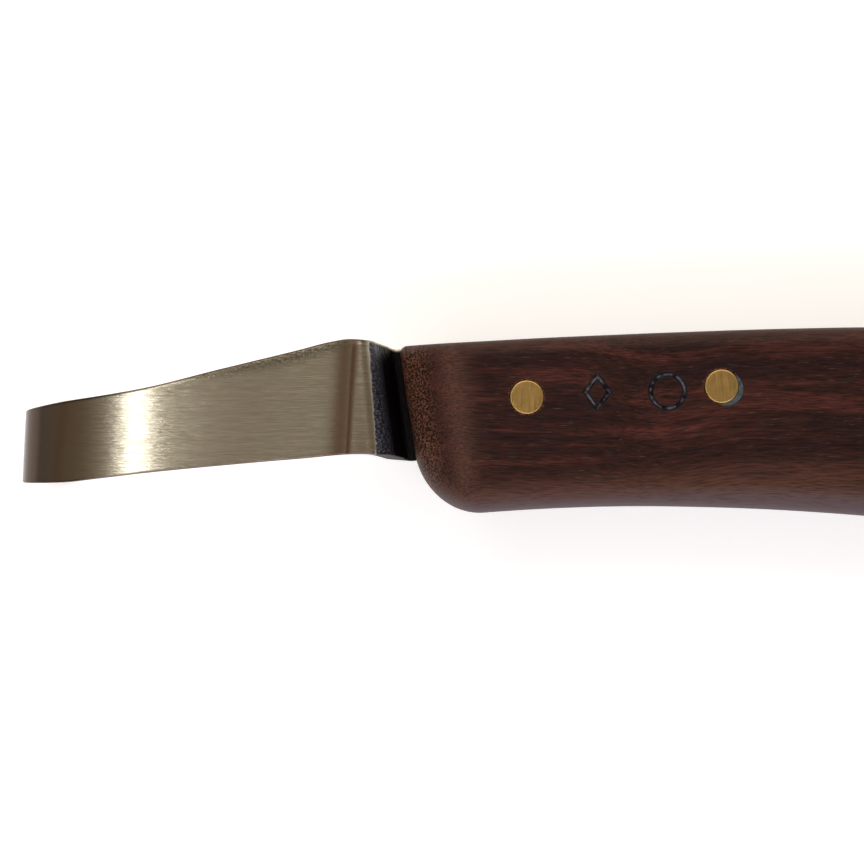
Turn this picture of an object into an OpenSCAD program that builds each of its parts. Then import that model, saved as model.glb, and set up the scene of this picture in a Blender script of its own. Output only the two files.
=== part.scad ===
// Open hook knife: a forged strip blade pinned into a slotted wooden handle.
// The knife lies on its side. +X runs from the hook to the butt of the handle,
// +Y from the cutting edge to the back, +Z up from the side that it rests on.
// The origin is on the resting side of the handle, midway between the two pins.

/* [Handle] */
// Length of the handle from its nose to its butt
handle_l = 120; // [110:1:130]
// Thickness of the handle between its two flat sides
handle_t = 19; // [18:0.5:22]
// Height of the handle's back over the axis, at its highest place
back_h = 13.05; // [12.5:0.05:14]
// Depth of the handle's belly under the axis, at its waist
waist_h = 11.9; // [11:0.1:12.5]
// How much the belly swells from the waist to the butt
butt_swell = 5; // [2:0.1:6]
// Edge radius along the back
back_edge_r = 2.4; // [1.5:0.1:3]
// Edge radius along the belly
belly_edge_r = 3.8; // [3:0.1:5]
// Radius of the lower front corner
nose_corner_r = 8.9; // [6:0.1:9.5]

/* [Blade] */
// Width of the strip at the mouth of the slot
strip_w = 15.8; // [15:0.1:16.5]
// Thickness of the strip in the slot
tang_t = 3.2; // [2.6:0.1:3.6]
// Thickness of the strip at the tip of the hook
tip_t = 1.5; // [1.2:0.1:2]
// How far the joggle lifts the strip out of the plane of the slot
joggle_rise = 8.7; // [7.5:0.1:9.5]
// Angle of the joggle's ramp
ramp_angle = 70; // [60:1:75]
// Length of the gently arched stretch between the joggle and the lead
arch_l = 26.3; // [20:0.1:30]
// Length of the lead, where the arch tightens into the hook
lead_l = 9.3; // [7:0.1:12]
// Gap between the hook's lowest place and the surface that the knife lies on
rest_gap = 0.4; // [0.2:0.1:1]
// Width of the bevel ground on the inside of the cutting edge
bevel_w = 4.6; // [3:0.1:5]
// Length of the tang inside the handle
tang_l = 52; // [46:1:56]

/* [Pins] */
// Diameter of the brass pins
pin_d = 4.76; // [4:0.01:5]
// Distance between the two pins along the handle
pin_gap = 26.9; // [25:0.1:29]
// Radial clearance of a pin in its holes
pin_clear = 0.02; // [0.01:0.01:0.05]

/* [Stamped marks] */
// Depth of the marks stamped into the side of the handle
mark_depth = 0.4; // [0.2:0.1:0.6]
// Width of the stroke of a mark
mark_stroke = 0.7; // [0.5:0.1:0.9]

/* [Hidden] */
$fn = 64;
MID_Z = handle_t / 2;

// Handle
NOSE_X = -29.6;
NOSE_SHEAR = -0.15;
NOSE_SHEAR_L = 30;
NOSE_L = 9.5;
NOSE_DROP = 5;
NOSE_POWER = 2.2;
NOSE_RIM_R = 0.7;
BACK_CORNER_R = 1.1;
BACK_PEAK_X = 40;
BACK_FALL = 4;
BACK_WAVE = 240;
WAIST_X = 3.6;
SWELL_WAVE = 176;
BUTT_BACK_R = 11;
BUTT_BELLY_R = 9;
BUTT_SIDE_R = 6;
CORNER_STEPS = 6;
BACK_EDGE_WALL = 1.5;
BELLY_EDGE_WALL = 1.2;
END_ZONE = 12;
END_STEPS = 14;
BODY_STEPS = 14;

// Blade: the slot holds the tang with a thin line of glue
GLUE = 0.03;
BEND_IN_R = 2.2;
BEND_OUT_R = 2.6;
BEND_X = -30.8;
MOUTH_TO_BEND = 0.8;
CREST_FALL = 0.5;
ARCH_FALL = 3.5;
LEAD_FALL = 13;
ENTRY_R = 24;
ENTRY_TURN = 23;
CURL_TURN = 102;
TIP_TURN = 56;
TIP_TIGHTER = 0.91;
CURL_SPARE = 0.1;
BACK_COVER = 0.5;
EDGE_LAND = 0.25;
BREAK = 0.25;
TIP_ROUND_BACK = 4.2;
TIP_ROUND_CUT = 2.6;
BACK_FACET_W = 1.6;
BACK_FACET_DROP = 0.35;
BACK_FACET_RUN = 8;
TANG_TAPER = 0.072;
TANG_MOUTH_Y = 2.3;
TANG_STEPS = 6;
TANG_START_X = -26;

bend_in_l = BEND_IN_R * ramp_angle * PI / 180;
bend_out_l = BEND_OUT_R * (ramp_angle + CREST_FALL) * PI / 180;
bends_rise = BEND_IN_R * (1 - cos(ramp_angle)) + BEND_OUT_R * (cos(CREST_FALL) - cos(ramp_angle));
ramp_l = (joggle_rise - bends_rise) / sin(ramp_angle);
crest_s = bend_in_l + ramp_l + bend_out_l;
arch_r = arch_l / ((ARCH_FALL - CREST_FALL) * PI / 180);
arch_drop = arch_r * (cos(CREST_FALL) - cos(ARCH_FALL));
lead_r = lead_l / ((LEAD_FALL - ARCH_FALL) * PI / 180);
lead_drop = lead_r * (cos(ARCH_FALL) - cos(LEAD_FALL));
hook_s = crest_s + arch_l + lead_l;
entry_end = LEAD_FALL + ENTRY_TURN;
curl_end = entry_end + CURL_TURN;
entry_drop = ENTRY_R * (cos(LEAD_FALL) - cos(entry_end));
hook_drop = MID_Z + joggle_rise - arch_drop - lead_drop - rest_gap - tip_t / 2 - CURL_SPARE;
curl_share = cos(entry_end) - cos(curl_end) + TIP_TIGHTER * (1 + cos(curl_end));
curl_r = (hook_drop - entry_drop) / curl_share;
entry_l = ENTRY_R * ENTRY_TURN * PI / 180;
curl_l = curl_r * CURL_TURN * PI / 180;
tip_l = TIP_TIGHTER * curl_r * TIP_TURN * PI / 180;
tip_s = hook_s + entry_l + curl_l + tip_l;
tang_end_x = BEND_X + MOUTH_TO_BEND + tang_l;

// Pins stand on the centre line of the tang, which climbs slightly to the butt
PIN_RISE = 0.056;
PIN_MID_Y = 4.05;
front_pin = [-pin_gap / 2, PIN_MID_Y - PIN_RISE * pin_gap / 2];
rear_pin = [pin_gap / 2, PIN_MID_Y + PIN_RISE * pin_gap / 2];
STRAY_HOLE = [0.69, -0.4];
FILLER_SUNK = 0.12;
RING_MARK = [6, 4.1];
RING_MARK_R = 2.7;
LOZENGE_MARK = [-3.7, 4];
LOZENGE_HALF_W = 2.1;
LOZENGE_HALF_H = 2.8;

// Inset of a surface at a distance d from an end that is rounded with radius r
function end_round(d, r) = d >= r ? 0 : r - sqrt(r * r - (r - d) * (r - d));

// Back and belly of the handle over its length, before the ends are rounded
function back_y(x) = back_h - BACK_FALL * (1 - cos(360 * (x - BACK_PEAK_X) / BACK_WAVE)) / 2;
function belly_y(x) = -waist_h - butt_swell * (1 - cos(360 * (x - WAIST_X) / SWELL_WAVE)) / 2;

// Half thickness of the handle at a distance s from its nose
function nose_drop(s) = s >= NOSE_L ? 0 : NOSE_DROP * pow(1 - s / NOSE_L, NOSE_POWER);
function half_t(s) = MID_Z - nose_drop(s) - end_round(s, NOSE_RIM_R) - end_round(handle_l - s, BUTT_SIDE_R);

// Slant of the handle's cross-sections, which fades from the nose
function shear(s) = s >= NOSE_SHEAR_L ? 0 : NOSE_SHEAR * (1 - s / NOSE_SHEAR_L);

// Corner of a cross-section: an arc of radius r in the quadrant that starts at angle a
function corner(y, z, r, a) = [for (i = [0:CORNER_STEPS])
    let (q = a + 90 * i / CORNER_STEPS) [y + r * cos(q), z + r * sin(q)]];

// Cross-section of the handle as a ring of points
function handle_ring(s) =
    let (
        x = NOSE_X + s,
        h = half_t(s),
        top = back_y(x) - end_round(s, BACK_CORNER_R) - end_round(handle_l - s, BUTT_BACK_R),
        low = belly_y(x) + end_round(s, nose_corner_r) + end_round(handle_l - s, BUTT_BELLY_R),
        rt = min(back_edge_r, h - BACK_EDGE_WALL),
        rb = min(belly_edge_r, h - BELLY_EDGE_WALL),
        flat = concat(
            corner(top - rt, h - rt, rt, 0),
            corner(low + rb, h - rb, rb, 90),
            corner(low + rb, -h + rb, rb, 180),
            corner(top - rt, -h + rt, rt, 270))
    )
    [for (p = flat) [x + shear(s) * p[0], p[0], MID_Z + p[1]]];

// Places of the cross-sections, close together where the ends are rounded
handle_places = concat(
    [for (i = [0:END_STEPS]) END_ZONE * (1 - cos(90 * i / END_STEPS))],
    [for (i = [1:BODY_STEPS - 1]) END_ZONE + (handle_l - 2 * END_ZONE) * i / BODY_STEPS],
    [for (i = [0:END_STEPS]) handle_l - END_ZONE * (1 - sin(90 * i / END_STEPS))]);

// Faces of a closed loft through rings of equal length, capped at both ends
function loft_faces(rings, count) = concat(
    [[for (i = [count - 1:-1:0]) i]],
    [[for (i = [0:count - 1]) (rings - 1) * count + i]],
    [for (k = [0:rings - 2]) for (i = [0:count - 1])
        let (a = k * count + i, b = k * count + (i + 1) % count)
        each [[a, b, a + count], [b, b + count, a + count]]]);

module loft(rings) {
    polyhedron(points = [for (r = rings) each r], faces = loft_faces(len(rings), len(rings[0])));
}

// Pose [x, z, heading] after a run of length l that turns by t degrees
function run(p, l, t) = t == 0
    ? [p[0] + l * cos(p[2]), p[1] + l * sin(p[2]), p[2]]
    : let (r = l / (t * PI / 180))
        [p[0] + r * (sin(p[2] + t) - sin(p[2])), p[1] - r * (cos(p[2] + t) - cos(p[2])), p[2] + t];

// Runs of the blade's middle surface: [length, turn, steps]
RUNS = [
    [bend_in_l, -ramp_angle, 10],
    [ramp_l, 0, 2],
    [bend_out_l, ramp_angle + CREST_FALL, 10],
    [arch_l, ARCH_FALL - CREST_FALL, 9],
    [lead_l, LEAD_FALL - ARCH_FALL, 5],
    [entry_l, ENTRY_TURN, 6],
    [curl_l, CURL_TURN, 16],
    [tip_l, TIP_TURN, 12]];

// Stations [s, x, z, heading] along the runs from number k on
function stations(p, s, k = 0) = k >= len(RUNS) ? [] : concat(
    [for (i = [1:RUNS[k][2]])
        let (f = i / RUNS[k][2])
        concat([s + f * RUNS[k][0]], run(p, f * RUNS[k][0], f * RUNS[k][1]))],
    stations(run(p, RUNS[k][0], RUNS[k][1]), s + RUNS[k][0], k + 1));
bend_start = [BEND_X, MID_Z, 180];
outer_stations = concat([concat([0], bend_start)], stations(bend_start, 0));

// Back edge, cutting edge, thickness, bevel and slant over the length s from the bend
half_w = strip_w / 2;
BACK_EDGE = [
    [0, half_w + TANG_MOUTH_Y], [8.6, half_w + 3.2], [crest_s, half_w + 3.4], [14.5, half_w + 3.05],
    [19.1, half_w + 1.9], [30.3, 7.2], [41.4, 4.5], [47.1, 3.55], [52.8, 2.75], [59.7, 1.7], [tip_s, 0.5]];
CUT_EDGE = [
    [0, 2.25 - half_w], [8.6, 3.15 - half_w], [crest_s, 3.3 - half_w], [19.1, 2.7 - half_w],
    [30.3, -6.2], [41.4, -7.3], [47.1, -8], [52.8, -8.6], [59.7, -8.75], [tip_s, -8.3]];
THICKNESS = [[-1, tang_t], [8, 2.9], [crest_s, 2.7], [30, 2.4], [hook_s, 2.1], [tip_s, tip_t]];
BEVEL = [[9, BREAK], [16, bevel_w], [tip_s - 4, bevel_w * 0.8], [tip_s, bevel_w * 0.5]];
SLANT = [[0, -0.14], [8, -0.13], [10, -0.09], [25, 0], [50, 0.03], [62, 0.05]];

// Cross-section of the strip: y across, n out from the middle surface
function strip_profile(s, top, low) =
    let (h = lookup(s, THICKNESS) / 2, b = lookup(s, BEVEL), g = (b - BREAK) / (bevel_w - BREAK))
    let (facet = min(1, max(0, (s - crest_s) / BACK_FACET_RUN)))
    let (fw = BREAK + facet * (BACK_FACET_W - BREAK), fd = BREAK + facet * (BACK_FACET_DROP - BREAK))
    [[top - fw, h], [low + BREAK, h], [low, h - EDGE_LAND],
        [low, -h + BREAK + max(0, g) * (2 * h - 2 * EDGE_LAND - BREAK)],
        [low + b, -h], [top - BREAK, -h], [top, -h + BREAK], [top, h - fd]];

// Ring of the strip at a station; the outer side lies to the right of the run
function strip_ring(st) =
    let (
        s = st[0],
        top = lookup(s, BACK_EDGE) - end_round(tip_s - s, TIP_ROUND_BACK),
        low = lookup(s, CUT_EDGE) + end_round(tip_s - s, TIP_ROUND_CUT),
        mid = (top + low) / 2,
        k = lookup(s, SLANT)
    )
    [for (p = strip_profile(s, top, low))
        [st[1] + sin(st[3]) * p[1] + k * (p[0] - mid), p[0], st[2] - cos(st[3]) * p[1]]];

// Edges of the tang: its back follows the handle's back, its lower edge tapers to the butt
function tang_back(x) = back_y(x) - BACK_COVER;
function tang_low(x) = TANG_MOUTH_Y - half_w + TANG_TAPER * (x - BEND_X);
function tang_ring(x) =
    let (h = tang_t / 2)
    [[tang_back(x) - BREAK, h], [tang_low(x) + BREAK, h], [tang_low(x), h - EDGE_LAND],
        [tang_low(x), -h + BREAK], [tang_low(x) + BREAK, -h], [tang_back(x) - BREAK, -h],
        [tang_back(x), -h + BREAK], [tang_back(x), h - BREAK]];
tang_rings = [for (i = [0:TANG_STEPS])
    let (x = tang_end_x + (TANG_START_X - tang_end_x) * i / TANG_STEPS)
    [for (p = tang_ring(x)) [x, p[0], MID_Z + p[1]]]];

module pin_hole(at) {
    translate([at[0], at[1], -1]) cylinder(h = handle_t + 2, d = pin_d + 2 * pin_clear);
}

module blade() {
    color("#857b68")
    difference() {
        loft(concat(tang_rings, [for (st = outer_stations) strip_ring(st)]));
        pin_hole(front_pin);
        pin_hole(rear_pin);
    }
}

// Groove sawn into the handle from its back, open at the nose
module slot() {
    reach = 12;
    translate([0, 0, MID_Z - tang_t / 2 - GLUE])
    linear_extrude(height = tang_t + 2 * GLUE)
    polygon([
        [NOSE_X - reach, tang_low(NOSE_X - reach) - GLUE], [tang_end_x + GLUE, tang_low(tang_end_x) - GLUE],
        [tang_end_x + GLUE, back_h + reach], [NOSE_X - reach, back_h + reach]]);
}

module ring_mark() {
    translate([RING_MARK[0], RING_MARK[1], handle_t - mark_depth])
    difference() {
        cylinder(h = 2, r = RING_MARK_R);
        translate([0, 0, -1]) cylinder(h = 4, r = RING_MARK_R - mark_stroke);
    }
}

module lozenge_mark() {
    slope = norm([LOZENGE_HALF_W, LOZENGE_HALF_H]) / LOZENGE_HALF_H;
    inner = 1 - mark_stroke * slope / LOZENGE_HALF_W;
    lozenge = [[LOZENGE_HALF_W, 0], [0, LOZENGE_HALF_H], [-LOZENGE_HALF_W, 0], [0, -LOZENGE_HALF_H]];
    translate([LOZENGE_MARK[0], LOZENGE_MARK[1], handle_t - mark_depth])
    linear_extrude(height = 2)
    difference() {
        polygon(lozenge);
        polygon(lozenge * inner);
    }
}

module handle() {
    color("#45291f")
    difference() {
        loft([for (s = handle_places) handle_ring(s)]);
        slot();
        pin_hole(front_pin);
        pin_hole(rear_pin);
        stray_hole();
        ring_mark();
        lozenge_mark();
    }
}

// Stray drilling beside the rear pin, from the upper side down to the tang
module stray_hole() {
    at = rear_pin + STRAY_HOLE;
    translate([at[0], at[1], MID_Z + tang_t / 2]) cylinder(h = handle_t, d = pin_d);
}

// A pin runs right through the handle and the tang, and is ground flush on both sides
module pin(at) {
    color("#b08a48")
    translate([at[0], at[1], 0]) cylinder(h = handle_t, d = pin_d);
}

module pin_front() {
    pin(front_pin);
}

module pin_rear() {
    pin(rear_pin);
}

// Filler in the crescent that the stray drilling leaves beside the rear pin
module rear_filler() {
    at = rear_pin + STRAY_HOLE;
    base = MID_Z + tang_t / 2 + GLUE;
    color("#3f4a4c")
    difference() {
        translate([at[0], at[1], base]) cylinder(h = handle_t - FILLER_SUNK - base, d = pin_d - 2 * GLUE);
        pin_hole(rear_pin);
    }
}

// Filler that covers the back edge of the tang in the open groove
module slot_filler() {
    start = NOSE_X + 1.5;
    span = tang_end_x - start;
    steps = 12;
    xs = [for (i = [0:steps]) start + span * i / steps];
    color("#3f4a4c")
    translate([0, 0, MID_Z - tang_t / 2])
    linear_extrude(height = tang_t)
    polygon(concat(
        [for (x = xs) [x, tang_back(x) + GLUE]],
        [for (i = [steps:-1:0]) [xs[i], back_y(xs[i]) - GLUE]]));
}

blade();
handle();
pin_front();
pin_rear();
rear_filler();
slot_filler();
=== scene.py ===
"""Looks of an open hook knife: forged strip blade, slotted hardwood handle, two brass pins and set filler.

Run as a script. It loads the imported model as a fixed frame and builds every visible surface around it.
Lengths are in metres, and MM turns a length in millimetres into them.
"""

import math

import bpy
import numpy as np
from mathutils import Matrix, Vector


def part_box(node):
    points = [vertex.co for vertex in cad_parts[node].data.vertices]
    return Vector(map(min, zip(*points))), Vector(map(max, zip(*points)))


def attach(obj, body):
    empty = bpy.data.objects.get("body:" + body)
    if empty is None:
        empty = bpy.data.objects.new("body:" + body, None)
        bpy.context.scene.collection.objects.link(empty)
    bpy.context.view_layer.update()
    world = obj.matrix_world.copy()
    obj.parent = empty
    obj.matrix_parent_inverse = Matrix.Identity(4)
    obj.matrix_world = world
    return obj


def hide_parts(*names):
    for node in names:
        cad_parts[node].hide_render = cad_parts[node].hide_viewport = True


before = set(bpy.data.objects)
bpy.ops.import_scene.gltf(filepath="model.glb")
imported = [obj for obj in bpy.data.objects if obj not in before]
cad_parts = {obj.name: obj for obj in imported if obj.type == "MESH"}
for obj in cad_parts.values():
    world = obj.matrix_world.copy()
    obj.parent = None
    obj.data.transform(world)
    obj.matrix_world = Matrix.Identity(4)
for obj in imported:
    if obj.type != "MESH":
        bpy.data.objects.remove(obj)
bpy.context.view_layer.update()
HANDLE_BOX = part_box("handle")
BLADE_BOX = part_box("blade")
PIN_BOXES = {"pin_front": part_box("pin_front"), "pin_rear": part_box("pin_rear")}
REAR_FILLER_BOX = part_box("rear_filler")
SLOT_FILLER_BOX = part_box("slot_filler")

bl_info = {
    "name": "Hook Knife",
    "version": (1, 0, 0),
    "blender": (4, 5, 0),
    "location": "View3D > Sidebar > Hook Knife",
    "description": "Builds a forged hook knife with a hardwood handle and brass pins",
    "category": "Object",
}

MM = 0.001
HANDLE_T = HANDLE_BOX[1].z - HANDLE_BOX[0].z
MID_Z = HANDLE_BOX[0].z + HANDLE_T / 2


# ---------------------------------------------------------------- numbers and colours


def linear(hex_colour):
    """Linear RGB of an sRGB hex colour.

    A channel up to 0.04045 is divided by 12.92, and the rest follow a power of 2.4.
    """
    parts = [int(hex_colour[i:i + 2], 16) / 255 for i in (1, 3, 5)]
    return tuple(c / 12.92 if c <= 0.04045 else ((c + 0.055) / 1.055) ** 2.4 for c in parts)


def length(name, description, default_mm):
    """A length property with its default given in millimetres."""
    return bpy.props.FloatProperty(name=name, description=description, default=default_mm * MM, unit="LENGTH",
                                   precision=5)


def colour(name, description, hex_colour):
    """A colour property with its default given as an sRGB hex value."""
    return bpy.props.FloatVectorProperty(name=name, description=description, default=linear(hex_colour),
                                         subtype="COLOR", size=3, min=0, max=1)


def smooth_step(x, low, high):
    """0 below low, 1 above high, and the cubic 3t^2 - 2t^3 between them."""
    t = np.clip((x - low) / (high - low), 0, 1)
    return t * t * (3 - 2 * t)


def smooth_curve(x, points):
    """Cubic Hermite curve through points (x, y), with slopes limited so that it never overshoots a point."""
    px, py = np.array(points, float).T
    secant = np.diff(py) / np.diff(px)
    before, after = secant[:-1], secant[1:]
    same_sign = before * after > 0
    inner = np.where(same_sign, 2 * before * after / np.where(same_sign, before + after, 1), 0)
    slope = np.concatenate([[secant[0]], inner, [secant[-1]]])
    x = np.clip(x, px[0], px[-1])
    k = np.clip(np.searchsorted(px, x, side="right") - 1, 0, len(px) - 2)
    h = px[k + 1] - px[k]
    t = (x - px[k]) / h
    return ((1 + 2 * t) * (1 - t) ** 2 * py[k] + t * (1 - t) ** 2 * h * slope[k]
            + t * t * (3 - 2 * t) * py[k + 1] + t * t * (t - 1) * h * slope[k + 1])


def end_round(d, r):
    """Inset of a surface at a distance d from an end that is rounded with a quarter circle of radius r."""
    d = np.clip(d, 0, r)
    return r - np.sqrt(np.maximum(r * r - (r - d) ** 2, 0))


def lattice_noise(x, y, seed):
    """Smooth value noise from -1 to 1: random values on a unit lattice, blended with the smooth step."""
    values = np.random.default_rng(seed).uniform(-1, 1, (64, 64))
    ix, iy = np.floor(x).astype(int), np.floor(y).astype(int)
    fx, fy = x - ix, y - iy
    fx, fy = fx * fx * (3 - 2 * fx), fy * fy * (3 - 2 * fy)
    pick = lambda a, b: values[a % 64, b % 64]
    near = pick(ix, iy) * (1 - fx) + pick(ix + 1, iy) * fx
    far = pick(ix, iy + 1) * (1 - fx) + pick(ix + 1, iy + 1) * fx
    return near * (1 - fy) + far * fy


# ---------------------------------------------------------------- meshes


def grid_faces(rows, columns):
    """Quads of a grid, row by row; the last column joins the first."""
    row, column = np.meshgrid(np.arange(rows - 1), np.arange(columns), indexing="ij")
    after = (column + 1) % columns
    return np.stack([row * columns + column, row * columns + after,
                     (row + 1) * columns + after, (row + 1) * columns + column], -1).reshape(-1, 4)


def tube_mesh(name, rings, uv=None, **values):
    """Closed mesh through rings (rings, points, 3), with a fan to the middle of the first and the last ring.

    uv, of shape (rings, points, 2), becomes the UV map of the same points, and each array in values, of shape
    (rings, points), an attribute of that name; a fan's middle takes its ring's mean.
    """
    count, size = rings.shape[:2]
    points = np.concatenate([rings.reshape(-1, 3), rings[0].mean(0)[None], rings[-1].mean(0)[None]])
    quads = grid_faces(count, size)
    around = np.arange(size)
    after = (around + 1) % size
    first = np.stack([np.full(size, count * size), after, around], -1)
    base = (count - 1) * size
    last = np.stack([np.full(size, count * size + 1), base + around, base + after], -1)
    mesh = bpy.data.meshes.new(name)
    mesh.from_pydata(points.tolist(), [], quads.tolist() + first.tolist() + last.tolist())
    if uv is not None:
        flat = np.concatenate([uv.reshape(-1, 2), uv[0].mean(0)[None], uv[-1].mean(0)[None]])
        index = np.empty(len(mesh.loops), np.int32)
        mesh.loops.foreach_get("vertex_index", index)
        mesh.uv_layers.new(name="run").data.foreach_set("uv", flat[index].astype(np.float32).ravel())
    for key, value in values.items():
        flat = np.concatenate([value.ravel(), [value[0].mean(), value[-1].mean()]])
        mesh.attributes.new(key, "FLOAT", "POINT").data.foreach_set("value", flat.astype(np.float32))
    return finished(mesh)


def finished(mesh, sharp_angle=40):
    """Validates a mesh, shades it smooth and marks as sharp the edges steeper than sharp_angle degrees."""
    mesh.validate()
    mesh.shade_smooth()
    mesh.set_sharp_from_angle(angle=math.radians(sharp_angle))
    mesh.update()
    return mesh


def is_inside_out(mesh):
    """True where the signed volume of a closed mesh, summed over its triangles, is negative."""
    mesh.calc_loop_triangles()
    index = np.empty(len(mesh.loop_triangles) * 3, np.int32)
    mesh.loop_triangles.foreach_get("vertices", index)
    co = np.empty(len(mesh.vertices) * 3, np.float32)
    mesh.vertices.foreach_get("co", co)
    a, b, c = co.reshape(-1, 3)[index.reshape(-1, 3)].astype(float).transpose(1, 0, 2)
    return np.einsum("ij,ij->i", a, np.cross(b, c)).sum() < 0


def add_piece(name, mesh, material, nodes):
    """Links a finished mesh as a piece that rides on the one body and stands for the given CAD nodes."""
    if is_inside_out(mesh):
        raise RuntimeError(f"{name} is inside out")
    piece = bpy.data.objects.new(name, mesh)
    bpy.context.scene.collection.objects.link(piece)
    mesh.materials.append(material)
    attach(piece, "root")
    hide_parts(*nodes)
    return piece


def cut(mesh, cutters):
    """The mesh with each cutter mesh taken out of it, by Blender's exact boolean, applied."""
    body = bpy.data.objects.new("cut_body", mesh)
    tools = [bpy.data.objects.new(f"cut_tool_{i}", m) for i, m in enumerate(cutters)]
    for o in [body, *tools]:
        bpy.context.scene.collection.objects.link(o)
    for tool in tools:
        boolean = body.modifiers.new(tool.name, "BOOLEAN")
        boolean.operation = "DIFFERENCE"
        boolean.solver = "EXACT"
        boolean.object = tool
    bpy.context.view_layer.update()
    made = bpy.data.meshes.new_from_object(body.evaluated_get(bpy.context.evaluated_depsgraph_get()))
    for o in [body, *tools]:
        bpy.data.objects.remove(o)
    made.name = mesh.name + "_cut"
    made.materials.clear()
    return finished(made)


# ---------------------------------------------------------------- properties


class HookKnifeBlade(bpy.types.PropertyGroup):
    """Sizes and colours of the forged strip."""

    strip_w: length("Strip width", "Width of the strip at the mouth of the slot", 15.8)
    tang_t: length("Tang thickness", "Thickness of the strip in the slot", 3.2)
    tip_t: length("Tip thickness", "Thickness of the strip at the tip of the hook", 1.5)
    tang_l: length("Tang length", "Length of the tang inside the handle", 52)
    joggle_rise: length("Joggle rise", "How far the joggle lifts the strip", 8.7)
    arch_l: length("Arch length", "Length of the arch between the joggle and the lead", 26.3)
    lead_l: length("Lead length", "Length of the lead, where the arch tightens into the hook", 9.3)
    bevel_w: length("Bevel width", "Width of the bevel inside the cutting edge", 4.6)
    rest_gap: length("Rest gap", "Gap between the hook and the surface that the knife lies on", 0.4)
    steel: colour("Ground steel", "Colour of the belt-ground steel", "#d8d1be")
    steel_dark: colour("Steel shade", "Colour of the darker streaks in the steel", "#a29a87")
    # painted reflection: brown bars about the bend that stand for dark things reflected in the strip
    tint: colour("Heat tint", "Brown tint left by the heat beside the joggle", "#7f6352")
    # painted reflection: dark colour at the turn of the hook, also used for the painted dark line along the
    # back's edge
    dark_reflection: colour("Hook scale", "Colour of the dark film at the turn of the hook", "#3d312a")
    # painted shade on the facet along the back
    facet: colour("Back facet", "Colour of the duller facet along the back", "#5a5342")
    # painted reflection: brown colour over the hook
    hook_reflection: colour("Hook film", "Colour of the brown film on the hook", "#86705f")
    # painted shadow along the cutting edge
    edge_shadow: colour("Edge film", "Colour of the reddish film along the cutting edge", "#4a3631")
    scale: colour("Forge scale", "Colour of the black scale on the joggle", "#14141b")
    grains: colour("Scale grains", "Colour of the rubbed grains in the scale", "#60626f")


class HookKnifeHandle(bpy.types.PropertyGroup):
    """Sizes and colours of the handle."""

    handle_l: length("Handle length", "Length of the handle from its nose to its butt", 120)
    back_h: length("Back height", "Height of the back over the axis", 13.05)
    waist_h: length("Waist depth", "Depth of the belly under the axis, at the waist", 11.9)
    butt_swell: length("Butt swell", "How much the belly swells towards the butt", 5)
    back_edge_r: length("Back edge radius", "Edge radius along the back", 2.4)
    belly_edge_r: length("Belly edge radius", "Edge radius along the belly", 3.8)
    nose_corner_r: length("Nose corner radius", "Radius of the lower front corner", 8.9)
    mark_depth: length("Mark depth", "Depth of the stamped marks", 0.4)
    mark_stroke: length("Mark stroke", "Width of the stroke of a mark", 0.7)
    heart: colour("Heartwood", "Main colour of the wood", "#331811")
    streak: colour("Dark streak", "Colour of the dark growth streaks", "#200e0d")
    warm: colour("Warm streak", "Colour of the lighter red streaks", "#4b2420")
    # painted shade in the stamped strokes, over the darker crushed wood
    groove_shade: colour("Pressed wood", "Colour of the wood crushed by the stamps", "#131215")
    # painted sheen on the rounded edges and the shoulder of the nose
    edge_sheen: colour("Rubbed wood", "Colour of the wood where the hand has rubbed the oil off", "#53372c")
    # painted reflection on the very edge of the belly
    edge_reflection_tone: colour("Worn edge", "Colour of the edges that the hand has worn", "#54464a")
    # painted highlight along the bottom of a stamped stroke
    sheen: colour("Pressed sheen", "Colour of the polished bottom of a stamped stroke", "#6a6e78")
    dust: colour("Dust", "Colour of the sanding dust in the pores", "#65544c")
    end_grain: colour("End grain", "Colour of the end grain at the nose and butt", "#482e23")


class HookKnifeFittings(bpy.types.PropertyGroup):
    """Sizes and colours of the pins and the filler."""

    rim_r: length("Pin rim", "Radius of the rounded rim of a pin", 0.24)
    brass: colour("Brass", "Colour of the brass pins", "#b6945a")
    filler: colour("Filler", "Colour of the set filler", "#3a464c")


class HookKnifeStage(bpy.types.PropertyGroup):
    """Camera, floor and light."""

    camera_height: length("Camera height", "Height of the camera over the floor", 350)
    view_w: length("View width", "Width of the view at the upper side of the handle", 119.23)
    floor: colour("Floor", "Colour of the floor", "#f9f9f8")


GROUPS = {
    "hook_knife_blade": HookKnifeBlade,
    "hook_knife_handle": HookKnifeHandle,
    "hook_knife_fittings": HookKnifeFittings,
    "hook_knife_stage": HookKnifeStage,
}


# ---------------------------------------------------------------- materials


def add_node(tree, kind, inputs=(), **settings):
    """Adds a shader node of a kind, named without its ShaderNode prefix, with settings as its own properties.

    inputs maps a socket to a value, to another node's output, or to a node, which stands for its first output
    in use.
    """
    made = tree.nodes.new("ShaderNode" + kind)
    for key, value in settings.items():
        setattr(made, key, value)
    for key, value in dict(inputs).items():
        if isinstance(value, bpy.types.Node):
            value = next(out for out in value.outputs if out.enabled)
        if isinstance(value, bpy.types.NodeSocket):
            tree.links.new(value, made.inputs[key])
        else:
            made.inputs[key].default_value = value
    return made


def new_material(name):
    """An empty node material and its tree."""
    material = bpy.data.materials.new(name)
    material.use_nodes = True
    material.node_tree.nodes.clear()
    return material, material.node_tree


def finish_material(tree, inputs):
    """Adds the surface shader with its inputs, and the output that it feeds."""
    shader = add_node(tree, "BsdfPrincipled", inputs)
    add_node(tree, "OutputMaterial", {"Surface": shader})


def rgba(value):
    """A colour property as four numbers."""
    return (*value, 1)


def masks(tree, *names):
    """Outputs that read the mesh attributes of those names."""
    return [add_node(tree, "Attribute", attribute_name=name).outputs["Fac"] for name in names]


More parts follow.
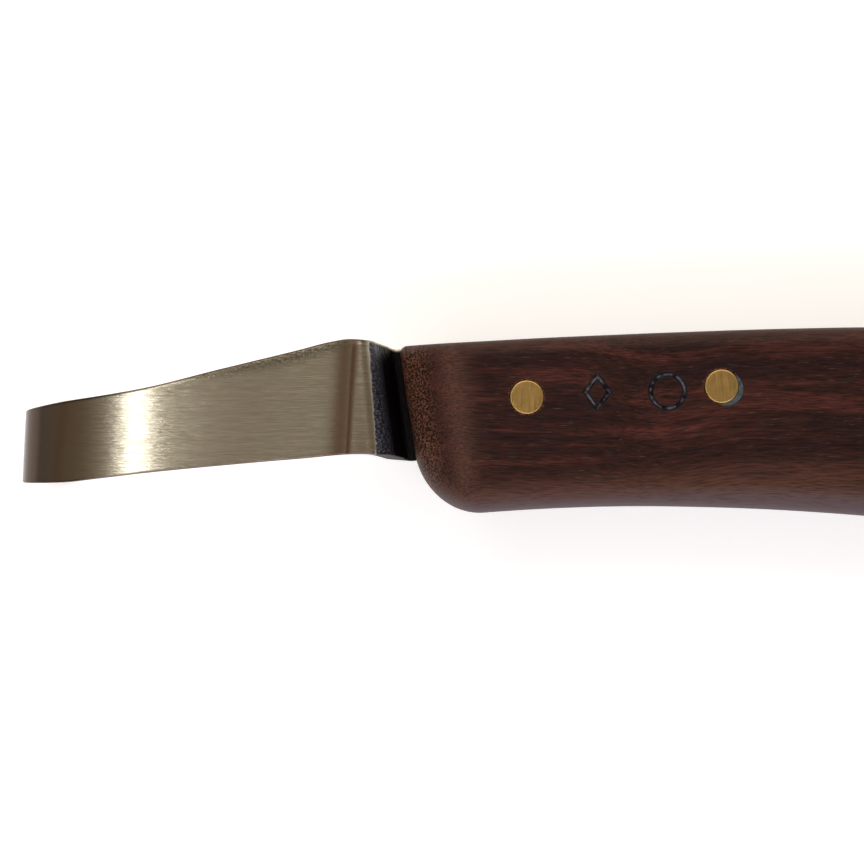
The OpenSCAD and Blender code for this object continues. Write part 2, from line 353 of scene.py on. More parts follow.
def ramp(tree, value, low=0.0, high=1.0, start=0.0, end=1.0, **settings):
    """Runs from start to end while value runs from low to high, and stays level outside them."""
    return add_node(tree, "MapRange", {"Value": value, "From Min": low, "From Max": high,
                                       "To Min": start, "To Max": end}, **settings)


def calc(tree, operation, *values):
    """The result of a maths operation on numbers or outputs."""
    return add_node(tree, "Math", enumerate(values), operation=operation)


def scaled(tree, tone, by):
    """A colour multiplied by a number."""
    return add_node(tree, "VectorMath", {0: tone, "Scale": by}, operation="SCALE")


def noise(tree, place, scale, detail, roughness=0.5):
    """Noise whose grain is one over the scale across, on each axis of place."""
    return add_node(tree, "TexNoise", {"Vector": place, "Scale": scale, "Detail": detail,
                                       "Roughness": roughness})


def stretched_noise(tree, place, scales, detail, roughness=0.5):
    """Noise whose grain is one over the scale long on each axis of place."""
    stretched = add_node(tree, "VectorMath", {0: place, 1: scales}, operation="MULTIPLY")
    return noise(tree, stretched, 1, detail, roughness)


def layered(tree, base, layers):
    """The base colour with each (mask, colour) of layers laid over it in turn."""
    for mask, tone in layers:
        base = add_node(tree, "Mix", {0: mask, MIX_A: base, MIX_B: tone}, data_type="RGBA")
    return base


# socket numbers of a colour mix node
MIX_A, MIX_B = 6, 7
# painted reflection on the steel, brown bars for dark things reflected in it: place past the crest, half
# width and strength of each bar
REFLECTION_BARS = ((1.9 * MM, 1.5 * MM, 0.85), (0.8 * MM, 0.5 * MM, 1.0), (-1.2 * MM, 1.4 * MM, 0.4),
             (16.5 * MM, 6.0 * MM, 0.2), (41.0 * MM, 0.9 * MM, 0.4))
# painted reflections on the hook, brown and then dark: start and end of the fade past the crest, and the
# strength
HOOK_REFLECTION, HOOK_DARK_REFLECTION = (31.5 * MM, 40 * MM, 0.85), (39.5 * MM, 45 * MM, 0.9)
SCALE_END = 10.0 * MM
# where the painted shade in the crease of the joggle beside the handle begins, and where it is full
CREASE_SHADE_START, CREASE_SHADE_FULL = 8.3 * MM, 6.2 * MM
BEAD_COLOUR = (0.45, 0.40, 0.35, 1)
# colour of the painted shade in that crease
CREASE_SHADE_COLOUR = (0.003, 0.0025, 0.0025, 1)
PORE_COLOUR = (0.004, 0.0025, 0.002, 1)
FILLER_PIT_COLOUR = (0.016, 0.018, 0.020, 1)


def steel_material(p, crest_s):
    """Carbon steel, forged black and then ground along the strip on a belt.

    The belt leaves long fine scratches, so highlights spread across the strip and stay crisp along it. The
    joggle keeps its forge scale: a dark, pebbled skin with a dull sheen. Between them the belt ran out on the
    bend and left a thin pale line. The colour also carries painted light: dark reflections as brown bars
    about the bend and over the hook, and painted shade on the back facet, along both edges and in the
    joggle's crease.
    The UV map gives the place along and across the strip.
    """
    material, tree = new_material("carbon_steel_belt_ground")
    uv = add_node(tree, "UVMap", uv_map="run")
    parts = add_node(tree, "SeparateXYZ", {0: uv})
    along, across = parts.outputs[0], parts.outputs[1]
    facet_shade, bare, edge_shadow = masks(tree, "facet_shade", "bare", "edge_shadow")
    # scratches: 0.15 mm wide, drawn coarser than the real 0.05 mm so that they show, and 3 mm long
    scratch = stretched_noise(tree, uv, (330, 6600, 1), 3, 0.6)
    # broader bands where the belt bit deeper: about 0.7 mm wide and 25 mm long
    bands = stretched_noise(tree, uv, (40, 1400, 1), 2)
    tone = calc(tree, "MULTIPLY_ADD", bands, 0.4, scratch)
    tone = ramp(tree, tone, 0.48, 0.92)
    # painted reflection: the hook is coloured brown, darkest at its turn, for the dark surroundings that it
    # reflects
    hook_reflection, dark_reflection = [
        ramp(tree, along, crest_s + start, crest_s + end, end=strength, interpolation_type="SMOOTHSTEP")
        for start, end, strength in (HOOK_REFLECTION, HOOK_DARK_REFLECTION)]
    # painted reflection: soft brown bars across the strip, most of them about the bend, where the strip
    # reflects dark things
    slanted = calc(tree, "MULTIPLY_ADD", across, 0.12, along)
    tint = 0.0
    for centre, width, strength in REFLECTION_BARS:
        bar = slanted
        for operation, value in (("SUBTRACT", crest_s + centre), ("DIVIDE", width), ("POWER", 2),
                                 ("MULTIPLY", -1), ("EXPONENT", 0), ("MULTIPLY", strength),
                                 ("MAXIMUM", tint)):
            bar = calc(tree, operation, bar, value)
        tint = bar
    # painted shade: the facet along the back is coloured darker, broken up by a grainy grit
    grit = noise(tree, uv, 3000, 2)
    grit = ramp(tree, grit, 0.35, 0.65, start=0.45)
    facet = calc(tree, "MULTIPLY", facet_shade, grit)
    # painted shade: past the bend a dark line along the edge of the back, and a reddish painted shadow along
    # the cutting edge
    past = ramp(tree, along, crest_s - 3 * MM, crest_s - 1 * MM, end=0.9)
    edge_shade = calc(tree, "MULTIPLY", bare, past)
    edge_shadow = calc(tree, "MULTIPLY", edge_shadow, 0.9)
    ground = layered(tree, rgba(p.steel_dark), (
        (tone, rgba(p.steel)), (hook_reflection, rgba(p.hook_reflection)), (dark_reflection, rgba(p.dark_reflection)), (tint, rgba(p.tint)),
        (facet, rgba(p.facet)), (edge_shade, rgba(p.dark_reflection)), (edge_shadow, rgba(p.edge_shadow))))
    # edge of the ground area: a slanted line across the bend, uneven by 0.2 mm, with a pale bead on it
    ragged = noise(tree, uv, 1500, 3)
    slant = calc(tree, "MULTIPLY_ADD", across, 0.02, along)
    edge = calc(tree, "MULTIPLY_ADD", ragged, 0.5 * MM, slant)
    is_scale, bead_low, bead_high = [
        ramp(tree, edge, SCALE_END + start * MM, SCALE_END + end * MM)
        for start, end in ((0.30, 0.18), (0.16, 0.26), (0.42, 0.27))]
    covered = calc(tree, "SUBTRACT", 1.0, bare)
    is_scale = calc(tree, "MULTIPLY", is_scale, covered)
    gaps = noise(tree, uv, 2400, 1)
    gaps = ramp(tree, gaps, 0.40, 0.60)
    bead = calc(tree, "MULTIPLY", bead_low, bead_high)
    bead = calc(tree, "MULTIPLY", bead, gaps)
    # forge scale: blue-black grains 0.3 mm across, paler where their tops are rubbed
    pebbles = noise(tree, uv, 3300, 2, 0.6)
    speck = ramp(tree, pebbles, 0.46, 0.66)
    # painted shade: towards the handle, in the crease of the joggle, and along the cutting edge, the scale is
    # coloured near black and its sheen is turned down
    crease_shade = ramp(tree, along, CREASE_SHADE_START, CREASE_SHADE_FULL)
    crease_shade = calc(tree, "MAXIMUM", crease_shade, edge_shadow)
    skin = layered(tree, rgba(p.scale), ((speck, rgba(p.grains)), (crease_shade, CREASE_SHADE_COLOUR)))
    base = layered(tree, ground, ((is_scale, skin), (bead, BEAD_COLOUR)))
    metallic = ramp(tree, is_scale, start=1.0, end=0.35)
    satin = ramp(tree, tone, start=0.26, end=0.21)
    roughness = add_node(tree, "Mix", {0: is_scale, 2: satin, 3: 0.42})
    # grain: shallow dents 0.2 mm wide and 1.5 mm long that break up the edge of a highlight
    dents = stretched_noise(tree, uv, (650, 4600, 1), 2)
    relief = calc(tree, "MULTIPLY_ADD", dents, 4.0, scratch)
    height = add_node(tree, "Mix", {0: is_scale, 2: relief, 3: pebbles})
    depth = ramp(tree, is_scale, start=0.3, end=1.0)
    bump = add_node(tree, "Bump", {"Height": height, "Strength": depth, "Distance": 0.02 * MM})
    sheen = calc(tree, "MULTIPLY", crease_shade, is_scale)
    sheen = ramp(tree, sheen, start=0.5, end=0.08)
    tangent = add_node(tree, "Tangent", direction_type="UV_MAP", uv_map="run")
    finish_material(tree, {
        "Base Color": base, "Metallic": metallic, "Roughness": roughness, "Normal": bump, "Tangent": tangent,
        "Anisotropic": 0.7, "Anisotropic Rotation": 0.25, "Specular IOR Level": sheen})
    return material


def wood_material(p):
    """Dense dark hardwood of the rosewood kind, sanded and oiled, with open pores.

    The grain runs along the handle, so one pattern in space gives streaks and short pore lines on the sides
    and round pores on the end grain. Oil gives a low satin sheen, and sanding dust lightens the pores. The
    colour also carries painted light: a sheen painted on the rounded edges and the shoulder of the nose,
    painted shade in the stamped strokes, and a painted highlight along their bottom.
    """
    material, tree = new_material("rosewood_oiled")
    place = add_node(tree, "TexCoord").outputs["Object"]
    wander = noise(tree, place, 28, 1)
    bend = add_node(tree, "VectorMath", {0: wander.outputs["Color"], 1: (0, 0.006, 0.006)},
                    operation="MULTIPLY")
    grain = add_node(tree, "VectorMath", {0: place, 1: bend}, operation="ADD")
    end_mask, edge_sheen, edge_reflection, stamp_groove, groove_sheen = masks(
        tree, "end_grain", "edge_sheen", "edge_reflection", "stamp_groove", "groove_sheen")
    # growth streaks: 1.5 to 4 mm wide, running for several centimetres
    broad = stretched_noise(tree, grain, (28, 420, 420), 4, 0.6)
    streak = ramp(tree, broad, 0.38, 0.62)
    warm = ramp(tree, broad, 0.52, 0.72, end=0.8)
    sides = layered(tree, rgba(p.streak), ((streak, rgba(p.heart)), (warm, rgba(p.warm))))
    # fibres: 0.17 mm wide and 3 mm long
    fine = stretched_noise(tree, grain, (350, 5800, 5800), 3)
    fibre = ramp(tree, fine, 0.34, 0.66, 0.50, 1.55)
    sides = scaled(tree, sides, fibre)
    # end grain: a tight mottle of light and dark dots
    mottle = noise(tree, place, 3400, 2)
    mottle = ramp(tree, mottle, 0.40, 0.60, 0.10, 1.9)
    ends = scaled(tree, p.end_grain, fibre)
    ends = scaled(tree, ends, mottle)
    # pores: tubes 0.28 mm apart and about 3 mm long, a third of a spacing wide
    tubes = add_node(tree, "VectorMath", {0: grain, 1: (300, 3600, 3600)}, operation="MULTIPLY")
    tubes = add_node(tree, "TexVoronoi", {"Vector": tubes, "Scale": 1, "Randomness": 1})
    pore = ramp(tree, tubes.outputs["Distance"], 0.34, 0.16)
    pore_share = ramp(tree, end_mask, start=0.75, end=0.92)
    pore_share = calc(tree, "MULTIPLY", pore, pore_share)
    # flecks: short pale lines of sanding dust left in open pores, 0.12 mm wide and 2 mm long
    flecks = stretched_noise(tree, grain, (500, 7000, 7000), 1)
    flecks = ramp(tree, flecks, 0.66, 0.80, end=0.4)
    # stamped strokes: crushed wood darkened further with painted shade, and a painted highlight that comes
    # and goes along their bottom
    smear = noise(tree, place, 1100, 2)
    smear = ramp(tree, smear, 0.40, 0.60, end=0.9)
    # painted sheen on the rounded edges and the nose's shoulder, and a painted highlight in the strokes
    edge_sheen, edge_reflection, groove_sheen = [
        calc(tree, "MULTIPLY", mask, by)
        for mask, by in ((edge_sheen, fibre), (edge_reflection, fibre), (groove_sheen, smear))]
    base = layered(tree, sides, (
        (end_mask, ends), (pore_share, PORE_COLOUR), (flecks, rgba(p.dust)), (edge_sheen, rgba(p.edge_sheen)),
        (edge_reflection, rgba(p.edge_reflection_tone)), (stamp_groove, rgba(p.groove_shade)), (groove_sheen, rgba(p.sheen))))
    roughness = ramp(tree, fine, 0.3, 0.7, 0.42, 0.56)
    roughness = add_node(tree, "Mix", {0: stamp_groove, 2: roughness, 3: 0.28})
    sink = calc(tree, "MULTIPLY_ADD", pore, -1.0, fine)
    bump = add_node(tree, "Bump", {"Height": sink, "Strength": 0.5, "Distance": 0.04 * MM})
    finish_material(tree, {"Base Color": base, "Roughness": roughness, "Normal": bump, "IOR": 1.5,
                           "Specular IOR Level": 0.12})
    return material


def brass_material(p):
    """Brass rod filed flush and brushed across the handle: parallel lines and a warm, uneven yellow."""
    material, tree = new_material("brass_brushed")
    place = add_node(tree, "TexCoord").outputs["Object"]
    # brush lines: 0.12 mm wide, running from belly to back
    lines = stretched_noise(tree, place, (8000, 260, 260), 3)
    patch = noise(tree, place, 700, 2)
    light = ramp(tree, patch, 0.3, 0.7, 0.86, 1.08)
    base = scaled(tree, p.brass, light)
    roughness = ramp(tree, lines, 0.3, 0.7, 0.30, 0.46)
    bump = add_node(tree, "Bump", {"Height": lines, "Strength": 0.4, "Distance": 0.02 * MM})
    finish_material(tree, {"Base Color": base, "Metallic": 1.0, "Roughness": roughness, "Normal": bump})
    return material


def filler_material(p):
    """Epoxy filler, set and rubbed down with the wood: dull blue grey, with wood dust and small pits."""
    material, tree = new_material("epoxy_filler_rubbed_down")
    place = add_node(tree, "TexCoord").outputs["Object"]
    dust = noise(tree, place, 2200, 4)
    mixed = ramp(tree, dust, 0.30, 0.55)
    base = layered(tree, FILLER_PIT_COLOUR, ((mixed, rgba(p.filler)),))
    bump = add_node(tree, "Bump", {"Height": dust, "Strength": 0.6, "Distance": 0.05 * MM})
    finish_material(tree, {"Base Color": base, "Roughness": 0.5, "Normal": bump})
    return material


def floor_material(p):
    """Matt white paper on a light table: even, without gloss, and faintly lit, so shadows stay pale."""
    material, tree = new_material("paper_matt_white")
    place = add_node(tree, "TexCoord").outputs["Object"]
    fibre = noise(tree, place, 400, 3)
    bump = add_node(tree, "Bump", {"Height": fibre, "Strength": 0.05, "Distance": 0.02 * MM})
    # beyond the reach of the lamps the table glows more, so that the floor stays pale up to the horizon
    reach = add_node(tree, "VectorMath", {0: place}, operation="LENGTH")
    glow = ramp(tree, reach.outputs["Value"], 0.8, 2.5, 0.38, 0.52)
    finish_material(tree, {"Base Color": rgba(p.floor), "Roughness": 0.9, "Normal": bump,
                           "Emission Color": rgba(p.floor), "Emission Strength": glow})
    return material


# ---------------------------------------------------------------- blade


RAMP_ANGLE = 70
BEND_IN_R, BEND_OUT_R = 2.2 * MM, 2.6 * MM
CREST_FALL, ARCH_FALL, LEAD_FALL = 0.5, 3.5, 13
ENTRY_R, ENTRY_TURN = 24 * MM, 23
CURL_TURN, TIP_TURN, TIP_TIGHTER = 102, 56, 0.91
MOUTH_TO_BEND = 0.8 * MM
CURL_SPARE = 0.1 * MM
BACK_COVER = 0.5 * MM
EDGE_LAND, EDGE_CORNER, CORNER = 0.18 * MM, 0.14 * MM, 0.25 * MM
# facet along the back, in millimetres: least width, drop at that width, further drop per width, and roll-over
FACET_MIN, FACET_DROP, FACET_FALL, FACET_ROLL = 0.2, 0.13, 0.025, 1.7
LONG_SIDE, CROWDING = 14, 0.65
TANG_MOUTH_X, TANG_MOUTH_Y, TANG_CLIMB = -30.8 * MM, 2.3 * MM, 0.072
BACK_WAVE, BACK_WAVE_L, BACK_TOP_X = 4 * MM, 240 * MM, 40 * MM
BELLY_WAVE_L, WAIST_X = 176 * MM, 3.6 * MM
PATH_STEP, PATH_PAD = 0.02 * MM, 400
BLUR_TIGHT, BLUR_WIDE = 41, 281


def blade_runs(p):
    """Runs of the blade's middle surface as (length, turn in degrees), from the bend at the slot to the tip.

    The ramp is as long as the joggle's rise needs, and the curl as tight as it takes to bring the hook down
    to its gap over the floor.
    """
    cos, rad = lambda a: math.cos(math.radians(a)), math.radians
    rise = BEND_IN_R * (1 - cos(RAMP_ANGLE)) + BEND_OUT_R * (cos(CREST_FALL) - cos(RAMP_ANGLE))
    ramp_l = (p.joggle_rise - rise) / math.sin(rad(RAMP_ANGLE))
    arch_drop = p.arch_l / rad(ARCH_FALL - CREST_FALL) * (cos(CREST_FALL) - cos(ARCH_FALL))
    lead_drop = p.lead_l / rad(LEAD_FALL - ARCH_FALL) * (cos(ARCH_FALL) - cos(LEAD_FALL))
    entry_end, curl_end = LEAD_FALL + ENTRY_TURN, LEAD_FALL + ENTRY_TURN + CURL_TURN
    entry_drop = ENTRY_R * (cos(LEAD_FALL) - cos(entry_end))
    drop = MID_Z + p.joggle_rise - arch_drop - lead_drop - p.rest_gap - p.tip_t / 2 - CURL_SPARE
    curl_r = (drop - entry_drop) / (cos(entry_end) - cos(curl_end) + TIP_TIGHTER * (1 + cos(curl_end)))
    return [
        (BEND_IN_R * rad(RAMP_ANGLE), -RAMP_ANGLE),
        (ramp_l, 0),
        (BEND_OUT_R * rad(RAMP_ANGLE + CREST_FALL), RAMP_ANGLE + CREST_FALL),
        (p.arch_l, ARCH_FALL - CREST_FALL),
        (p.lead_l, LEAD_FALL - ARCH_FALL),
        (ENTRY_R * rad(ENTRY_TURN), ENTRY_TURN),
        (curl_r * rad(CURL_TURN), CURL_TURN),
        (TIP_TIGHTER * curl_r * rad(TIP_TURN), TIP_TURN),
    ]


def blade_path(p, stations):
    """x, z and heading of the blade's middle surface at the given lengths past the bend.

    The heading is a broken line over the length, softened by a running mean so that the curvature never
    jumps, and the place is its running integral.
    """
    runs = blade_runs(p)
    knots = np.concatenate([[0], np.cumsum([l for l, _ in runs])])
    heads = 180 + np.concatenate([[0], np.cumsum([t for _, t in runs])])
    s = np.arange(-60 * MM, knots[-1] + 4 * MM, PATH_STEP)
    exact = np.interp(s, knots, heads)
    padded = np.pad(exact, PATH_PAD, "edge")
    blur = lambda width: np.convolve(padded, np.ones(width) / width, "same")[PATH_PAD:-PATH_PAD]
    share = smooth_step(s, knots[3] + 1 * MM, knots[3] + 8 * MM)
    heading = np.radians(blur(BLUR_TIGHT) * (1 - share) + blur(BLUR_WIDE) * share)
    start = np.searchsorted(s, 0)
    middle = (heading[1:] + heading[:-1]) / 2
    x = np.concatenate([[0], np.cumsum(np.cos(middle) * PATH_STEP)])
    z = np.concatenate([[0], np.cumsum(np.sin(middle) * PATH_STEP)])
    bend_x = BLADE_BOX[1].x - p.tang_l - MOUTH_TO_BEND
    x, z = x - x[start] + bend_x, z - z[start] + MID_Z
    return np.interp(stations, s, x), np.interp(stations, s, z), np.interp(stations, s, heading)


def back_line(p, x):
    """Back of the handle: its highest place less a slow cosine wave."""
    return p.back_h - BACK_WAVE * (1 - np.cos(2 * np.pi * (x - BACK_TOP_X) / BACK_WAVE_L)) / 2


def belly_line(p, x):
    """Belly of the handle: the waist plus a slow cosine swell towards the butt."""
    return -p.waist_h - p.butt_swell * (1 - np.cos(2 * np.pi * (x - WAIST_X) / BELLY_WAVE_L)) / 2


def tang_low(p, x):
    """Lower edge of the tang: a straight line that climbs towards the butt."""
    return TANG_MOUTH_Y - p.strip_w / 2 + TANG_CLIMB * (x - TANG_MOUTH_X)


def blade_rings(p, handle):
    """Rings round the strip from the tang's end to the tip, and each point's place (length, width) on it.

    A ring is the strip's cross-section: outer face, cutting edge, inner bevel, inner face and back edge, with
    its corners eased by a running mean round the ring.
    """
    runs = blade_runs(p)
    lengths = np.cumsum([l for l, _ in runs]) / MM
    crest, hook, tip = lengths[2], lengths[4], lengths[7]
    half, corner, land = p.strip_w / 2 / MM, CORNER / MM, EDGE_LAND / MM
    s = np.concatenate([
        np.linspace(-52.8, -1.2, 60)[:-1], np.linspace(-1.2, crest + 1, 150)[:-1],
        np.linspace(crest + 1, hook + 2, 190)[:-1], np.linspace(hook + 2, tip - 1, 190)[:-1],
        tip - 1 + np.sin(np.linspace(0, np.pi / 2, 26))])
    back = smooth_curve(s, [
        (0, half + 2.3), (8.6, half + 3.2), (crest, half + 3.42), (14.5, half + 3.05), (19.1, half + 1.95),
        (30.3, 7.2), (41.4, 4.5), (47.1, 3.55), (52.8, 2.75), (59.7, 1.7), (tip, 0.5)])
    low = smooth_curve(s, [
        (0, 2.25 - half), (8.6, 3.15 - half), (crest, 3.3 - half), (19.1, 2.7 - half), (30.3, -6.2),
        (41.4, -7.3), (47.1, -8), (52.8, -8.6), (59.7, -8.75), (tip, -8.3)])
    thick = smooth_curve(s, [(-1, 3.2), (8, 2.9), (crest, 2.7), (30, 2.4), (hook, 2.1), (tip, p.tip_t / MM)])
    bevel = smooth_curve(s, [(9, corner), (16, p.bevel_w / MM), (tip - 4, 0.8 * p.bevel_w / MM),
                             (tip, 0.5 * p.bevel_w / MM)])
    slant = smooth_curve(s, [(0, -0.14), (8, -0.13), (10, -0.09), (25, 0), (50, 0.03), (62, 0.05)])
    facet = smooth_curve(s, [(9, FACET_MIN), (14, 1.9), (20, 2.3), (30, 1.7), (39, 0.4), (46, FACET_MIN)])
    x, z, heading = blade_path(p, s * MM)
    # the tang lies under the handle's back, and tapers towards its end
    inside = smooth_step(-s, 0, 3)
    slant = slant * (1 - inside)
    back = back * (1 - inside) + (back_line(handle, x) - BACK_COVER) / MM * inside
    low = low * (1 - inside) + tang_low(p, x) / MM * inside
    back = back - end_round(tip - s, 4.2)
    low = low + end_round(tip - s, 2.6)
    h = thick / 2
    share = np.clip((bevel - corner) / (p.bevel_w / MM - corner), 0, 1)
    facet_drop = FACET_DROP + (facet - FACET_MIN) * FACET_FALL
    bevel_top = -h + corner + share * (2 * h - 2 * land - corner)
    corners = np.array([
        (back - facet, h), (low + EDGE_CORNER / MM, h), (low, h - land), (low, bevel_top),
        (low + bevel, -h), (back - corner, -h), (back, -h + corner), (back, h - facet_drop)])
    # points along each side of the section; they crowd towards the ends of the long sides
    counts = [44, 3, 3, 14, 22, 3, 8, 12]
    around = []
    for k, count in enumerate(counts):
        t = np.arange(count) / count
        if count >= LONG_SIDE:
            t = (1 - CROWDING) * t + CROWDING * (1 - np.cos(np.pi * t)) / 2
        a, b = corners[k], corners[(k + 1) % len(counts)]
        around.append(a[:, :, None] * (1 - t) + b[:, :, None] * t)
    # the facet along the back rolls over into the outer face
    t = 1 - np.arange(counts[-1]) / counts[-1]
    around[-1][1] = h[:, None] - facet_drop[:, None] * t ** FACET_ROLL
    y, n = np.concatenate(around, -1)
    for _ in range(2):
        y = (np.roll(y, 1, 1) + 2 * y + np.roll(y, -1, 1)) / 4
        n = (np.roll(n, 1, 1) + 2 * n + np.roll(n, -1, 1)) / 4
    # relief: pebbled scale on the joggle, and a slow unevenness left by the hammer and the belt
    rows = s[:, None] + 0 * y
    side = np.sign(n)
    scale_zone = smooth_step(rows, -1.5, -0.5) * (1 - smooth_step(rows, 8.9, 9.4))
    pebble = lattice_noise(rows * 1.7, y * 1.7 + 9 * side, 11) + 0.7 * lattice_noise(rows * 3.6, y * 3.6, 12)
    slow = lattice_noise(rows * 0.16, y * 0.12, 13) * 0.010
    n = n + side * (0.045 * pebble * scale_zone + slow * smooth_step(rows, 11, 14))
    outer = n > 0
    # painted shade on the facet along the back
    facet_shade = smooth_step((y - (back - facet)[:, None]) / facet[:, None], -0.15, 0.75)
    facet_shade = facet_shade * outer * smooth_step(facet, 0.4, 1.2)[:, None]
    # the back's edge is bare of scale, and past the bend it gets a painted dark line; a painted shadow runs
    # along the cutting edge
    bare = smooth_step(y, (back - 0.45)[:, None], (back - 0.15)[:, None]) * outer
    edge_shadow = 1 - smooth_step(y, (low + 0.10)[:, None], (low + 0.40)[:, None])
    edge_shadow = edge_shadow * np.maximum(outer, scale_zone)
    mid = (back + low)[:, None] / 2
    points = np.stack([
        x[:, None] + (np.sin(heading)[:, None] * n + slant[:, None] * (y - mid)) * MM,
        y * MM,
        z[:, None] - np.cos(heading)[:, None] * n * MM], -1)
    places = np.stack([rows * MM, y * MM], -1)
    return points, places, {"facet_shade": facet_shade, "bare": bare, "edge_shadow": edge_shadow}, crest * MM


class HOOKKNIFE_OT_blade(bpy.types.Operator):
    """Builds the forged strip: tang, joggle, arch and hook"""

    bl_idname = "hook_knife.blade"
    bl_label = "Blade"

    def execute(self, context):
        scene = context.scene
        p = scene.hook_knife_blade
        points, places, values, crest_s = blade_rings(p, scene.hook_knife_handle)
        mesh = tube_mesh("forged_blade", points, places, **values)
        holes = []
        for pin in PIN_BOXES:
            x, y, r = pin_place(pin)
            hole_r = r + PIN_CLEAR
            holes.append(lathe_mesh("pin_hole", x, y, [(hole_r, 0), (hole_r, HANDLE_T)]))
        mesh = cut(mesh, holes)
        material = steel_material(p, crest_s)
        add_piece("forged_blade", mesh, material, ["blade"])
        return {"FINISHED"}


# ---------------------------------------------------------------- handle


NOSE_SHEAR, NOSE_SHEAR_L = -0.15, 30 * MM
NOSE_L, NOSE_DROP, NOSE_POWER = 9.5 * MM, 5 * MM, 2.2
NOSE_RIM_R = 0.7 * MM
# stretches along the handle with rings of their own spacing, and the height of the band with the marks
NOSE_ZONE, BUTT_ZONE, MARK_ZONE = 12 * MM, 14 * MM, (21.5 * MM, 39.5 * MM)
MARK_TOP, MARK_LOW = 8.2 * MM, -0.2 * MM
BACK_CORNER_R = 1.1 * MM
BUTT_BACK_R, BUTT_BELLY_R, BUTT_SIDE_R = 11 * MM, 9 * MM, 6 * MM
RING_MARK, RING_MARK_R = (6 * MM, 4.1 * MM), 2.7 * MM
LOZENGE_MARK, LOZENGE_W, LOZENGE_H = (-3.7 * MM, 4 * MM), 2.1 * MM, 2.8 * MM


def mark_distance(x, y, stroke):
    """Distance to the middle line of the nearer mark, a ring or a lozenge, less half the stroke."""
    ring = np.abs(np.hypot(x - RING_MARK[0], y - RING_MARK[1]) - (RING_MARK_R - stroke / 2))
    w, h = LOZENGE_W - 0.62 * stroke, LOZENGE_H - 0.82 * stroke
    level = np.abs(x - LOZENGE_MARK[0]) / w + np.abs(y - LOZENGE_MARK[1]) / h - 1
    lozenge = np.abs(level) * w * h / math.hypot(w, h)
    return np.minimum(ring, lozenge) - stroke / 2


